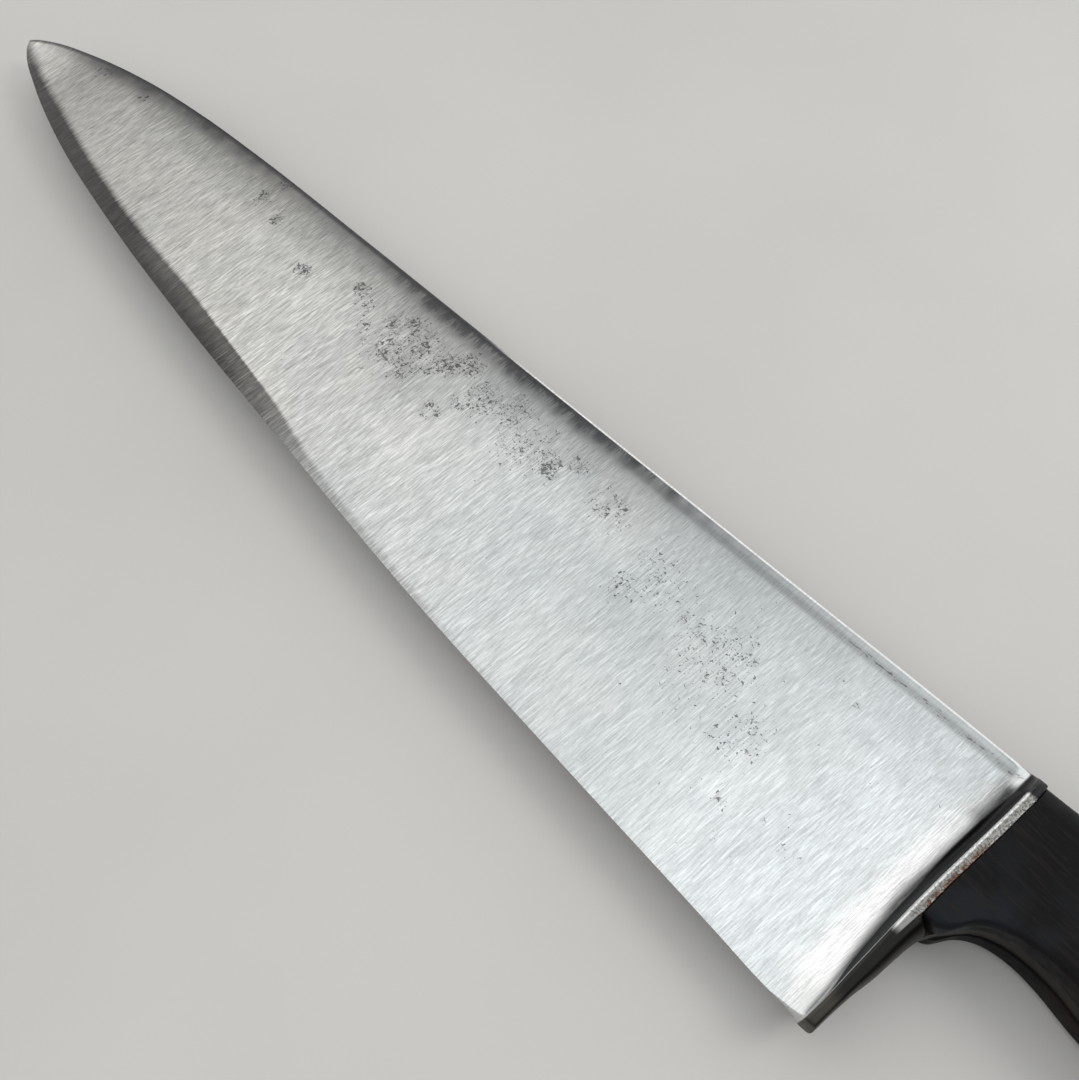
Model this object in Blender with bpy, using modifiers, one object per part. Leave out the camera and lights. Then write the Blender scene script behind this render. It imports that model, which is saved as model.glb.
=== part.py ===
"""A forged 12 inch chef's knife: blade, bolster and full tang in one piece, two scales, three rivets.

The knife lies on its side. +X runs from the tip to the butt, +Y from the edge to the spine, +Z up.
The origin is at the middle of its footprint, on the surface that it lies on.

Outlines are worked out in millimetres on the knife's own axes. u runs along the knife, from the
bolster's corner at the spine towards the butt, so the blade is at negative u. v runs down from the
spine to the edge, and z out from the mid-plane of the blade. local() turns these into metres on the
empty that every piece hangs from, which stands at the height of the mid-plane.
"""

import math

import bmesh
import bpy
import numpy as np

COLLECTION = "chef_knife"
CUTTERS = "cutters"

# Overall, in millimetres
BLADE_LENGTH = 302.5
HANDLE_LENGTH = 131.0
MIDDLE_U = (HANDLE_LENGTH - BLADE_LENGTH) / 2
MIDDLE_V = 29.25
HANDLE_HALF = 8.0
GAP = 0.25

# Blade
SPINE_HALF = 2.1
EDGE_HALF = 0.15
FACE_BULGE = 1.25
TIP_ROUNDING = 2.5
TIP_LEFT_OPEN = 0.05

# Bolster and finger guard
BOLSTER_HALF = 6.5
BOLSTER_CORNER = 6.0
REAR_CROWN = 0.05
GUARD_TOP = 34.7
GUARD_SHOULDER = 0.6
HEEL_START = 36.0
HEEL_DEPTH = 58.5
HEEL_THINNING = 3.2
FILLET_REACH = 0.95
FILLET_RUN = (4.5, 9.5)
FILLET_WIDENS = 15.0
GRID_DEPTHS = (0, 0.2, 0.8, 1.8, 3.6, 6, 9, 14, 20, 26, 31, 34, 34.7, 37.5, 40.5, 43.5, 47, 50.5, 53.5, 56, 58)

# Tang and scales
TANG_HALF = 1.7
TANG_INSET_TOP = 0.1
TANG_INSET_BELLY = 0.35
SCALE_START = -1.5
SCALE_INNER = TANG_HALF + GAP
SCALE_TOP_RADIUS = 5.0
SCALE_RIM = 0.3
SCALE_BELLY_RADIUS = 1.6
SCALE_GRIP_RADIUS = 3.2
FLAT_START = 26.0
BUTT_START = 117.0
BUTT_POWER = 2.5
BUTT_ROUNDING = 2.5

# Cutler's rivets
RIVET_CENTRES = {"front": (31.0, 15.2), "middle": (71.0, 15.6), "rear": (111.0, 17.6)}
HEAD_RADIUS = 4.0
HEAD_THICKNESS = 1.5
HEAD_RECESS = 0.05
TUBE_RADIUS = 2.4
BORE_RADIUS = 1.55
SHANK_RADIUS = 1.35
TURN_STEPS = 24


def smooth(*points):
    """The smooth curve through these points, as a function of the first number of each."""
    x, y = np.array(points, float).T
    gap = np.diff(x)
    chord = np.diff(y) / gap
    slope = np.empty(len(x))
    slope[1:-1] = (chord[:-1] * gap[1:] + chord[1:] * gap[:-1]) / (gap[:-1] + gap[1:])
    slope[[0, -1]] = chord[[0, -1]]

    def value(at):
        at = np.clip(at, x[0], x[-1])
        i = np.clip(np.searchsorted(x, at) - 1, 0, len(gap) - 1)
        t = (at - x[i]) / gap[i]
        start = (1 + 2 * t) * (1 - t) ** 2 * y[i] + t * (1 - t) ** 2 * gap[i] * slope[i]
        end = t * t * (3 - 2 * t) * y[i + 1] + t * t * (t - 1) * gap[i] * slope[i + 1]
        return start + end

    return value


def step(at, low, high):
    """0 up to low, 1 from high on, and an S-curve between them."""
    t = np.clip((at - low) / (high - low), 0, 1)
    return t * t * (3 - 2 * t)


def round_end(at, start, end, power=2.0):
    """The share of its width that a rounded end keeps: 1 at start, 0 at end."""
    t = np.clip((at - start) / (end - start), 0, 1)
    return (1 - t**power) ** (1 / power)


# Outlines seen from the side. The blade's run along -u, the handle's along u.
SPINE = smooth((0, 0.6), (10, 0.45), (60, 0.4), (120, 0.2), (180, -0.1), (220, 0), (245, 1), (265, 3.1), (285, 7.5),
               (296, 11.3), (302.5, 15))
EDGE = smooth((0, HEEL_DEPTH), (9, 58.6), (21, 57.9), (60, 55.8), (101, 53.2), (142, 49.2), (190, 44.1),
              (229, 38.5), (262, 31.9), (285, 25), (297, 20.2), (302.5, 16.9))
SPINE_TAPER = smooth((0, SPINE_HALF), (100, 1.75), (200, 1.2), (270, 0.7), (302.5, 0.45))
RIDGE = smooth((0, 0.95), (5, 0.75), (10, 0.45), (16, -0.1), (22, -0.68), (28, -1.25), (36, -1.88), (42, -2.15),
               (48, -2.45), (54, -2.7), (58.5, -3.1))
REAR = smooth((0, 2.7), (5, 2.5), (10, 2.1), (16, 1.58), (22, 0.95), (28, 0.33), (36, -0.17), (42, -0.5),
              (48, -0.85), (54, -1.2), (58.5, -1.5))
GUARD_BACK = smooth((34.4, 2.8), (38, 1.95), (42, 1.35), (46, 0.85), (50, 0.05), (54, -0.5),
                    (58.5, -0.95))
HANDLE_TOP = smooth((0, 1.75), (60, 1.75), (85, 1.9), (105, 2.9), (131, 6))
BELLY = smooth((2.6, 34.4), (4.2, 33.5), (6.4, 30.2), (8.6, 28.3), (11, 27.2), (15, 26.4), (20, 26.5),
               (29, 28.4), (45, 30.2), (60, 30.4), (75, 29.3), (90, 28), (102, 28.6), (112, 32),
               (120, 36.2), (126, 38.6), (131, 39.5))


def between(top, bottom, share):
    """The two sides of an outline, pulled in towards the middle at a rounded end."""
    middle = (top + bottom) / 2
    half = (bottom - top) / 2 * share
    return middle - half, middle + half


def blade_outline(s):
    """The spine's and the edge's v at the distance s ahead of the bolster."""
    return between(SPINE(s), EDGE(s), round_end(s, BLADE_LENGTH - TIP_ROUNDING, BLADE_LENGTH))


def handle_outline(u):
    share = round_end(u, BUTT_START, HANDLE_LENGTH, BUTT_POWER)
    return between(HANDLE_TOP(u), BELLY(u), share)


def handle_half(u):
    """Half the handle's thickness: it swells behind the bolster to its flat sides."""
    swell = (HANDLE_HALF - BOLSTER_HALF) * step(u, 4, FLAT_START)
    butt = BUTT_ROUNDING * (1 - round_end(u, HANDLE_LENGTH - 6, HANDLE_LENGTH))
    return BOLSTER_HALF + swell - butt


def blade_half(s, share):
    """Half the blade's thickness, at a share of the way from the spine to the edge."""
    spine = SPINE_TAPER(s) * (0.5 + 0.5 * round_end(s, BLADE_LENGTH - TIP_ROUNDING, BLADE_LENGTH))
    return EDGE_HALF + (spine - EDGE_HALF) * (1 - share**FACE_BULGE)


def bolster_half(v):
    """Half the bolster's thickness: round at the spine, full over the handle, thinner at the heel."""
    left = 1 - np.clip((v - SPINE(0)) / BOLSTER_CORNER, 0, 1)
    corner = (BOLSTER_HALF - SPINE_HALF) * (1 - left**1.5) ** (1 / 1.5)
    heel = HEEL_THINNING * np.clip((v - HEEL_START) / (HEEL_DEPTH - HEEL_START), 0, 1) ** 1.3
    return SPINE_HALF + corner - heel


def fillet(ahead, v):
    """The hollow rise from the blade's face to the ridge: 1 on the ridge, 0 at the end of its run."""
    run = np.interp(v, (0, FILLET_WIDENS), FILLET_RUN)
    reach = FILLET_REACH * np.clip(1 - ahead / run, 0, 1)
    return (1 - np.sqrt(1 - reach**2)) / (1 - math.sqrt(1 - FILLET_REACH**2))


def blade_stations():
    """Distances ahead of the ridge: close over the fillet, even along the blade, close at the tip."""
    over_fillet = 60 * (np.arange(18) / 18) ** 2
    along = np.arange(60, 280, 16)
    tip = 284 + (BLADE_LENGTH - TIP_LEFT_OPEN - 284) * np.sin(np.radians(np.arange(0, 91, 10)))
    return np.concatenate([over_fillet, along, tip])[::-1]


def blade_column(ahead):
    """One line of points across the blade, from the spine to the edge, on its upper side."""
    shares = np.array(GRID_DEPTHS) / GRID_DEPTHS[-1]
    lean = 1 - step(ahead, 15, 75)
    top = blade_outline(ahead - lean * RIDGE(0))[0]
    bottom = blade_outline(ahead - lean * RIDGE(HEEL_DEPTH))[1]
    v = top + (bottom - top) * shares
    u = lean * RIDGE(v) - ahead
    plain = blade_half(-u, shares)
    rise = bolster_half(v) - blade_half(-RIDGE(v), shares)
    return np.column_stack([u, v, plain + rise * fillet(ahead, v)])


def bolster_columns():
    """The strip behind the ridge, and the back of the bolster down to the mid-plane."""
    v = SPINE(0) + (HEEL_DEPTH - SPINE(0)) * np.array(GRID_DEPTHS) / GRID_DEPTHS[-1]
    half = bolster_half(v)
    guard = step(v, GUARD_TOP, GUARD_TOP + GUARD_SHOULDER) * (GUARD_BACK(v) - REAR(v))
    swell = np.maximum(guard, REAR_CROWN)
    for degrees in (0, 25, 50, 70, 90):
        turn = math.radians(degrees)
        yield np.column_stack([REAR(v) + swell * math.sin(turn), v, half * math.cos(turn)])


def local(points):
    """Millimetres on the knife's axes to metres on the empty's."""
    u, v, z = np.asarray(points, float).T
    return np.column_stack([u - MIDDLE_U, MIDDLE_V - v, z]) / 1000


def on_mid_plane(points):
    return points * (1, 1, 0)


def surface(name, columns, caps=False, closed=False):
    """A mesh of quads between neighbouring lines of points. Rings are closed lines."""
    form = bmesh.new()
    lines = [[form.verts.new(point) for point in local(column)] for column in columns]
    rows = len(lines[0])
    for here, there in zip(lines, lines[1:]):
        for i in range(rows if closed else rows - 1):
            j = (i + 1) % rows
            form.faces.new((here[i], here[j], there[j], there[i]))
    if caps:
        form.faces.new(lines[0][::-1])
        form.faces.new(lines[-1])
    bmesh.ops.remove_doubles(form, verts=form.verts, dist=1e-7)
    bmesh.ops.dissolve_degenerate(form, edges=form.edges, dist=1e-7)
    bmesh.ops.recalc_face_normals(form, faces=form.faces)
    if form.calc_volume(signed=True) < 0:
        bmesh.ops.reverse_faces(form, faces=form.faces)
    mesh = bpy.data.meshes.new(name)
    form.to_mesh(mesh)
    form.free()
    return mesh


def blade_and_bolster():
    """The upper half, open at the mid-plane where the Mirror joins it to the lower half."""
    columns = [blade_column(ahead) for ahead in blade_stations()] + list(bolster_columns())
    columns.insert(0, on_mid_plane(columns[0]))
    walled = [np.vstack([on_mid_plane(c[:1]), c, on_mid_plane(c[-1:])]) for c in columns]
    return surface("forging", walled)


def tang_outline():
    """From inside the bolster along the top, round the butt, and back along the belly."""
    along = np.concatenate([np.arange(3, 115, 4), np.linspace(BUTT_START, HANDLE_LENGTH - 0.4, 12)])
    top, bottom = handle_outline(along)
    upper = np.column_stack([along, top + TANG_INSET_TOP])
    lower = np.column_stack([along, bottom - TANG_INSET_BELLY])[along > 5][::-1]
    inside_bolster = [(3.4, 34), (2.5, 35.5), (-1, 35.5), (0.5, upper[0, 1])]
    return np.vstack([upper, lower, inside_bolster])


def bolster_side():
    """Round everything ahead of the line that the scales' front ends are sawn to."""
    down = np.linspace(-3, 37, 21)
    sawn = np.column_stack([REAR(down) + GAP, down])
    return np.vstack([(SCALE_START - 1, -3), sawn, (SCALE_START - 1, 37)])


def bar(name, outline, half, collection):
    """A flat bar with this outline, to add or cut away with a Boolean."""
    curve = bpy.data.curves.new(name, "CURVE")
    curve.dimensions = "2D"
    curve.fill_mode = "BOTH"
    curve.extrude = half / 1000
    spline = curve.splines.new("POLY")
    spline.points.add(len(outline) - 1)
    for point, place in zip(spline.points, local(np.column_stack([outline, np.zeros(len(outline))]))):
        point.co = (*place, 1)
    spline.use_cyclic_u = True
    drawn = bpy.data.objects.new(name + "_curve", curve)
    collection.objects.link(drawn)
    mesh = bpy.data.meshes.new_from_object(drawn.evaluated_get(bpy.context.evaluated_depsgraph_get()))
    bpy.data.objects.remove(drawn)
    form = bmesh.new()
    form.from_mesh(mesh)
    bmesh.ops.remove_doubles(form, verts=form.verts, dist=1e-6)
    bmesh.ops.recalc_face_normals(form, faces=form.faces)
    form.to_mesh(mesh)
    form.free()
    return helper(name, mesh, collection)


def scale_section(station):
    """One ring round a scale."""
    top, bottom = handle_outline(station)
    half = handle_half(station)
    belly_radius = SCALE_BELLY_RADIUS + (SCALE_GRIP_RADIUS - SCALE_BELLY_RADIUS) * step(station, 20, 40)
    fit = min(1, 0.98 * (bottom - top) / (SCALE_TOP_RADIUS + belly_radius))
    fall = min(SCALE_TOP_RADIUS, half - SCALE_INNER - SCALE_RIM)
    turn = np.radians(np.linspace(0, 90, 6))
    upper = np.column_stack([top + fit * SCALE_TOP_RADIUS * (1 - np.cos(turn)),
                             half - fall * (1 - np.sin(turn))])
    lower = np.column_stack([bottom - fit * belly_radius * (1 - np.sin(turn)),
                             half - belly_radius * (1 - np.cos(turn))])
    ring = np.vstack([(top, SCALE_INNER), upper, lower, (bottom, SCALE_INNER)])
    return np.column_stack([np.full(len(ring), station), ring])


def scale_stations():
    front = SCALE_START + (30 - SCALE_START) * (np.arange(22) / 22) ** 1.15
    along = np.arange(30, 112, 9)
    butt = BUTT_START + (HANDLE_LENGTH - 0.1 - BUTT_START) * np.sin(np.radians(np.arange(0, 91, 10)))
    return np.concatenate([front, along, butt])


def scale(side):
    """The upper scale, or with side -1 the lower one."""
    rings = [scale_section(station) * (1, 1, side) for station in scale_stations()]
    return surface("scale", rings, caps=True, closed=True)


def turned(name, profile):
    """A profile of (radius, height) pairs, in millimetres, from the top down, turned about Z."""
    mesh = bpy.data.meshes.new(name)
    points = [(radius / 1000, 0, height / 1000) for radius, height in profile]
    mesh.from_pydata(points, [(i, i + 1) for i in range(len(points) - 1)], [])
    return mesh


def add_turning(obj):
    screw = obj.modifiers.new("Turn", "SCREW")
    screw.steps = screw.render_steps = TURN_STEPS
    screw.use_merge_vertices = True
    screw.merge_threshold = 1e-6
    screw.use_smooth_shade = False


def head_profile(top):
    return [(0, top), (HEAD_RADIUS, top), (HEAD_RADIUS, top - HEAD_THICKNESS)]


def female_profile():
    top = HANDLE_HALF - HEAD_RECESS
    under_head = top - HEAD_THICKNESS
    mouth = -under_head + GAP
    return head_profile(top) + [(TUBE_RADIUS, under_head), (TUBE_RADIUS, mouth), (BORE_RADIUS, mouth),
                                (BORE_RADIUS, under_head), (0, under_head)]


def male_profile():
    top = HANDLE_HALF - HEAD_RECESS
    under_head = top - HEAD_THICKNESS
    return head_profile(top) + [(SHANK_RADIUS, under_head), (SHANK_RADIUS, GAP - under_head),
                                (0, GAP - under_head)]


def bore_profile():
    """The stepped hole for one rivet, through both scales and the tang."""
    seat = HANDLE_HALF - HEAD_RECESS - HEAD_THICKNESS - GAP
    outside = HANDLE_HALF + 2
    wide, narrow = HEAD_RADIUS + GAP, TUBE_RADIUS + GAP
    upper = [(0, outside), (wide, outside), (wide, seat), (narrow, seat)]
    return upper + [(radius, -height) for radius, height in upper[::-1]]


def material(name, colour, metallic, roughness):
    made = bpy.data.materials.new(name)
    made.use_nodes = True
    shader = made.node_tree.nodes["Principled BSDF"]
    shader.inputs["Base Color"].default_value = (*colour, 1)
    shader.inputs["Metallic"].default_value = metallic
    shader.inputs["Roughness"].default_value = roughness
    return made


def add(name, mesh, finish, collection, parent):
    obj = bpy.data.objects.new(name, mesh)
    collection.objects.link(obj)
    obj.parent = parent
    mesh.materials.clear()
    mesh.materials.append(finish)
    mesh.shade_smooth()
    mesh.set_sharp_from_angle(angle=math.radians(30))
    return obj


def helper(name, mesh, collection):
    obj = bpy.data.objects.new(name, mesh)
    collection.objects.link(obj)
    obj.hide_render = True
    obj.display_type = "WIRE"
    return obj


def combine(obj, other, operation):
    boolean = obj.modifiers.new(other.name, "BOOLEAN")
    boolean.operation = operation
    boolean.object = other


def add_rivet(name, u, v, finish, parts, knife):
    x, y, _ = local([(u, v, 0)])[0]
    for half, profile, turn in (("female", female_profile(), 0), ("male", male_profile(), math.pi)):
        mesh = turned("rivet_" + half, profile)
        obj = add(f"{name}_rivet_{half}", mesh, finish, parts, knife)
        obj.location = (x, y, 0)
        obj.rotation_euler.x = turn
        add_turning(obj)


def add_bore(name, u, v, cutters, knife):
    bore = helper(name + "_rivet_bore", turned("bore", bore_profile()), cutters)
    bore.parent = knife
    bore.location = local([(u, v, 0)])[0]
    add_turning(bore)
    return bore


def build():
    for obj in list(bpy.data.objects):
        bpy.data.objects.remove(obj)
    parts, cutters = (bpy.data.collections.new(name) for name in (COLLECTION, CUTTERS))
    for collection in (parts, cutters):
        bpy.context.scene.collection.children.link(collection)

    steel = material("satin_steel", (0.58, 0.6, 0.62), 1.0, 0.32)
    dark_wood = material("ebonised_wood", (0.022, 0.018, 0.017), 0.0, 0.42)
    brass = material("brass", (0.72, 0.52, 0.24), 1.0, 0.3)

    knife = bpy.data.objects.new("knife", None)
    knife.location.z = HANDLE_HALF / 1000
    parts.objects.link(knife)

    forging = add("forged_blade_bolster_tang", blade_and_bolster(), steel, parts, knife)
    mirror = forging.modifiers.new("Halves", "MIRROR")
    mirror.use_axis = (False, False, True)
    mirror.merge_threshold = 1e-6
    tang = bar("tang_bar", tang_outline(), TANG_HALF, cutters)
    sawn_away = bar("scale_front_cut", bolster_side(), HANDLE_HALF + 2, cutters)
    tang.parent = sawn_away.parent = knife
    combine(forging, tang, "UNION")

    upper = add("upper_handle_scale", scale(1), dark_wood, parts, knife)
    lower = add("lower_handle_scale", scale(-1), dark_wood, parts, knife)
    combine(upper, sawn_away, "DIFFERENCE")
    combine(lower, sawn_away, "DIFFERENCE")
    for name, (u, v) in RIVET_CENTRES.items():
        add_rivet(name, u, v, brass, parts, knife)
        bore = add_bore(name, u, v, cutters, knife)
        for drilled in (forging, upper, lower):
            combine(drilled, bore, "DIFFERENCE")


build()
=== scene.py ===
"""The looks of a forged 12 inch chef's knife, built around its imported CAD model.

The knife lies on its side: +X runs from the tip to the butt, +Y from the edge to the spine, +Z up.
Shapes are worked out in millimetres on the knife's own axes. u runs along the knife, from the
bolster's corner at the spine towards the butt, so the blade is at negative u. v runs down from the
spine to the edge, and z out from the mid-plane of the blade. world() turns these into metres.
"""

import math
from functools import reduce
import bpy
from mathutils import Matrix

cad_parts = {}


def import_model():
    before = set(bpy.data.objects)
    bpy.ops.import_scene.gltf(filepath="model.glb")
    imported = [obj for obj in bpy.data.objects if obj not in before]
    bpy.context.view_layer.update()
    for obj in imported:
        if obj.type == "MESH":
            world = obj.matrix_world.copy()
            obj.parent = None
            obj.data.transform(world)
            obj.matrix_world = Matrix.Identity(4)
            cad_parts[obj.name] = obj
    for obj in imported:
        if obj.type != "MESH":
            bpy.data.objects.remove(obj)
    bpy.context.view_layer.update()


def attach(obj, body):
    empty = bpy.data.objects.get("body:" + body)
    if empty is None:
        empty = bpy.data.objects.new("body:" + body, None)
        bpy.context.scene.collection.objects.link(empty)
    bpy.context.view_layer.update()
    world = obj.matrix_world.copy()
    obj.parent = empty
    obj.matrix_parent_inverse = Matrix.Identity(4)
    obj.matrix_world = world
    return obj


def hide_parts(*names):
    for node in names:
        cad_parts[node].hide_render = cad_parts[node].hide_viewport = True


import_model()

from types import SimpleNamespace

import bmesh
import bpy
import numpy as np
from mathutils import Matrix, Vector

# Overall, in millimetres
BLADE_LENGTH = 302.5
HANDLE_LENGTH = 131.0
MIDDLE_U = (HANDLE_LENGTH - BLADE_LENGTH) / 2
MIDDLE_V = 29.25
HANDLE_HALF = 8.0

# Blade
SPINE_HALF = 2.1
EDGE_HALF = 0.15
FACE_BULGE = 1.25
TIP_ROUNDING = 2.5
TIP_KEEPS = 0.5  # the share of its thickness that the very tip keeps
TIP_LEFT_OPEN = 0.05  # how far short of the tip the last line of points stands
SPINE_RADIUS = 1.5
SPINE_ROUNDED = 0.5  # how much of the quarter circle at the spine's corner is worn away
KEEN_HALF = 0.02
KEEN_FADE = (5, 12)  # the sharpening starts and is full this far ahead of the ridge
KEEN_WIDEST = 0.45  # the largest share of the blade's height that the sharpened band takes up
RIDGE_LEAN_FADE = (15, 75)  # the lines of points lean like the ridge up to here, and are upright from there

# Bolster and finger guard
BOLSTER_HALF = 6.5
BOLSTER_CORNER = 6.0
BOLSTER_CORNER_POWER = 1.5
REAR_CROWN = 0.05
REAR_RADIUS = 0.28
RIDGE_SOFTNESS = 0.02
GUARD_TOP = 34.7
GUARD_SHOULDER = 0.6
HEEL_START = 36.0
HEEL_DEPTH = 58.5
HEEL_THINNING = 3.2
HEEL_THINNING_POWER = 1.3
HEEL_RADIUS = 0.9
HEEL_ROUNDED = 0.8
FILLET_REACH = 0.95
FILLET_RUN = (4.5, 9.5)
FILLET_WIDENS = 15.0
FILLET_PAST_RIDGE = 1.03  # the fillet's curve runs on this far, so that the ridge wears evenly

# Tang and scales
TANG_HALF = 1.88
TANG_INSET_TOP = 0.1
TANG_INSET_BELLY = 0.35
SCALE_INNER = 1.95
SCALE_START = -1.5
SCALE_FRONT_GAP = 0.1
SCALE_SEAM_RADIUS = 0.2
SCALE_TOP_RADIUS = 5.0
SCALE_RIM = 0.3
SCALE_BELLY_RADIUS = 1.6
SCALE_GRIP_RADIUS = 3.2
GRIP_FADE = (20, 40)
SWELL_START = 4.0
FLAT_START = 26.0
BUTT_START = 117.0
BUTT_POWER = 2.5
BUTT_ROUNDING = 2.5
BUTT_ROUNDED_LENGTH = 6.0
PAST_HANDLE = 2.0  # how far the cutters reach past the handle's sides

# Cutler's rivets
RIVET_CENTRES = {"front": (31.0, 15.2), "middle": (71.0, 15.6), "rear": (111.0, 17.6)}
HEAD_RADIUS = 4.2
HEAD_THICKNESS = 1.5
HEAD_RECESS = 0.05
HEAD_CHAMFER = 0.18
HEAD_CROWN = 0.03
TUBE_RADIUS = 2.4
SHANK_RADIUS = 1.35
SHANK_END_GAP = 0.25  # from the end of a shank or tube to the other head
BORE_RADIUS = 1.55
FIT = 0.04
TURN_STEPS = 64

# The forging's mesh. Depths of its rows below the spine, heights of its rows above the edge as shares of
# the sharpened band's width, and the number of steps between the two.
SPINE_ROWS = np.array([0, 0.03, 0.09, 0.17, 0.27, 0.4, 0.6, 0.85, 1.1, 1.6, 2.4, 3.4, 4.7, 6])
EDGE_ROWS = np.array([1.6, 1.35, 1.15, 1.04, 1, 0.96, 0.85, 0.65, 0.4, 0.15, 0])
MIDDLE_STEPS = 51
FULL_ROWS_HEIGHT = 20.0  # where the blade is narrower than this, the rows at the spine draw together
COLUMN_STEP = 1.25
BACK_STEPS = 14
MERGE_DISTANCE = 1e-7  # in metres
SHARP_ANGLE = 30.0

# Values that tell the steel's material that a point is on the back of the bolster
BACK_OFFSET = 10.0
NO_FACET = 50.0

# Studio, in metres and degrees
CAMERA_PLACE = (0.071847, -0.07423, 0.1863)
CAMERA_HEADING = 45.90293
CAMERA_BELOW_HORIZON = 58.43074
CAMERA_LENS = 36.0
FLOOR_RADIUS = 6.0
FLOOR_GAP = 0.0001
KEY_DIRECTION = (0.6, 0.55, 0.75)
KEY_DISTANCE = 1.3
KEY_SIZE = 0.5
KEY_POWER = 5.0


def smooth(*points):
    """The smooth curve through these points, as a function of the first number of each."""
    x, y = np.array(points, float).T
    gap = np.diff(x)
    chord = np.diff(y) / gap
    slope = np.empty(len(x))
    slope[1:-1] = (chord[:-1] * gap[1:] + chord[1:] * gap[:-1]) / (gap[:-1] + gap[1:])
    slope[[0, -1]] = chord[[0, -1]]

    def value(at):
        at = np.clip(at, x[0], x[-1])
        i = np.clip(np.searchsorted(x, at) - 1, 0, len(gap) - 1)
        t = (at - x[i]) / gap[i]
        start = (1 + 2 * t) * (1 - t) ** 2 * y[i] + t * (1 - t) ** 2 * gap[i] * slope[i]
        end = t * t * (3 - 2 * t) * y[i + 1] + t * t * (t - 1) * gap[i] * slope[i + 1]
        return start + end

    return value


def step(at, low, high):
    """0 up to low, 1 from high on, and an S-curve between them."""
    t = np.clip((at - low) / (high - low), 0, 1)
    return t * t * (3 - 2 * t)


def round_end(at, start, end, power=2.0):
    """The share of its width that a rounded end keeps: 1 at start, 0 at end."""
    t = np.clip((at - start) / (end - start), 0, 1)
    return (1 - t**power) ** (1 / power)


def quarter(into, radius):
    """How far a rounded corner has fallen away, at a distance into it from the side it ends on."""
    left = np.clip(radius - into, 0, radius)
    return radius - np.sqrt(radius**2 - left**2)


# Outlines seen from the side. The blade's run along -u, the bolster's down v, the handle's along u.
SPINE = smooth((0, 0.6), (10, 0.45), (60, 0.4), (120, 0.2), (180, -0.1), (220, 0), (245, 1), (265, 3.1),
               (285, 7.5), (296, 11.3), (BLADE_LENGTH, 15))
EDGE = smooth((0, HEEL_DEPTH), (9, 58.6), (21, 57.9), (60, 55.8), (101, 53.2), (142, 49.2), (190, 44.1),
              (229, 38.5), (262, 31.9), (285, 25), (297, 20.2), (BLADE_LENGTH, 16.9))
SPINE_TAPER = smooth((0, SPINE_HALF), (100, 1.75), (200, 1.2), (270, 0.7), (BLADE_LENGTH, 0.45))
RIDGE = smooth((0, 0.95), (5, 0.75), (10, 0.45), (16, -0.1), (22, -0.68), (28, -1.25), (36, -1.88),
               (42, -2.15), (48, -2.45), (54, -2.7), (HEEL_DEPTH, -3.1))
REAR = smooth((0, 2.7), (5, 2.5), (10, 2.1), (16, 1.58), (22, 0.95), (28, 0.33), (36, -0.17), (42, -0.5),
              (48, -0.85), (54, -1.2), (HEEL_DEPTH, -1.5))
GUARD_BACK = smooth((34.4, 2.8), (38, 1.95), (42, 1.35), (46, 0.85), (50, 0.05), (54, -0.5),
                    (HEEL_DEPTH, -0.95))
HANDLE_TOP = smooth((0, 1.75), (60, 1.75), (85, 1.9), (105, 2.9), (HANDLE_LENGTH, 6))
BELLY = smooth((2.6, 34.4), (4.2, 33.5), (6.4, 30.2), (8.6, 28.3), (11, 27.2), (15, 26.4), (20, 26.5),
               (29, 28.4), (45, 30.2), (60, 30.4), (75, 29.3), (90, 28), (102, 28.6), (112, 32),
               (120, 36.2), (126, 38.6), (HANDLE_LENGTH, 39.5))

# Wear and painted light, by the distance ahead of the bolster. The sharpened band along the edge: its width,
# and how dark it is, partly as painted shade. The steel's brightness along the blade, a painted reflection
# that is brightest at the heel, how much of it is lost towards the spine as painted shade, and how strong the
# stain beside the spine is, with its painted shade. The lean of the polishing strokes.
KEEN_WIDTH = smooth((0, 0.5), (60, 0.6), (90, 0.9), (110, 1.3), (130, 1.8), (140, 2.3), (147, 3.1),
                    (153, 3.9), (165, 4.6), (180, 5.2), (195, 5.5), (205, 5.2), (215, 4.8), (228, 4.4),
                    (250, 4.3), (270, 4.0), (285, 3.0), (296, 2.4), (BLADE_LENGTH, 0.8))
# how dark the sharpened band is: its sharpened finish and painted shade
KEEN_DARKNESS = smooth((0, 0.1), (60, 0.1), (85, 0.2), (105, 0.35), (125, 0.45), (140, 0.6), (150, 0.85),
                       (165, 1), (296, 1), (BLADE_LENGTH, 0.8))
# painted reflection: the steel's brightness changes along the blade and is brightest at the heel
TONE = smooth((0, 0.68), (20, 0.7), (35, 0.66), (50, 0.58), (90, 0.565), (110, 0.56), (130, 0.53),
              (150, 0.49), (170, 0.5), (190, 0.465), (210, 0.425), (230, 0.385), (250, 0.36), (285, 0.34),
              (294, 0.44), (BLADE_LENGTH, 0.52))
# painted shade: the steel is darker towards the spine
SPINE_LOSS = smooth((0, 0.15), (20, 0.2), (50, 0.24), (70, 0.32), (90, 0.44), (110, 0.49), (150, 0.5),
                    (200, 0.5), (250, 0.5), (285, 0.45), (BLADE_LENGTH, 0.1))
SPINE_LOSS_REACH = 0.42
# the stain beside the spine, together with painted shade: the dark reflection there
STAIN_AND_SHADE = smooth((0, 0.1), (40, 0.2), (70, 0.4), (90, 0.75), (110, 0.95), (130, 1), (155, 0.85), (168, 0.55),
               (185, 0.35), (205, 0.35), (225, 0.6), (245, 0.72), (265, 0.65), (282, 0.5), (294, 0.1),
               (BLADE_LENGTH, 0))
STAIN_AND_SHADE_FADE = (0.6, 7.3)
STROKE_LEAN = smooth((0, -0.087), (150, 0.05), (BLADE_LENGTH, 0.18))

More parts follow.
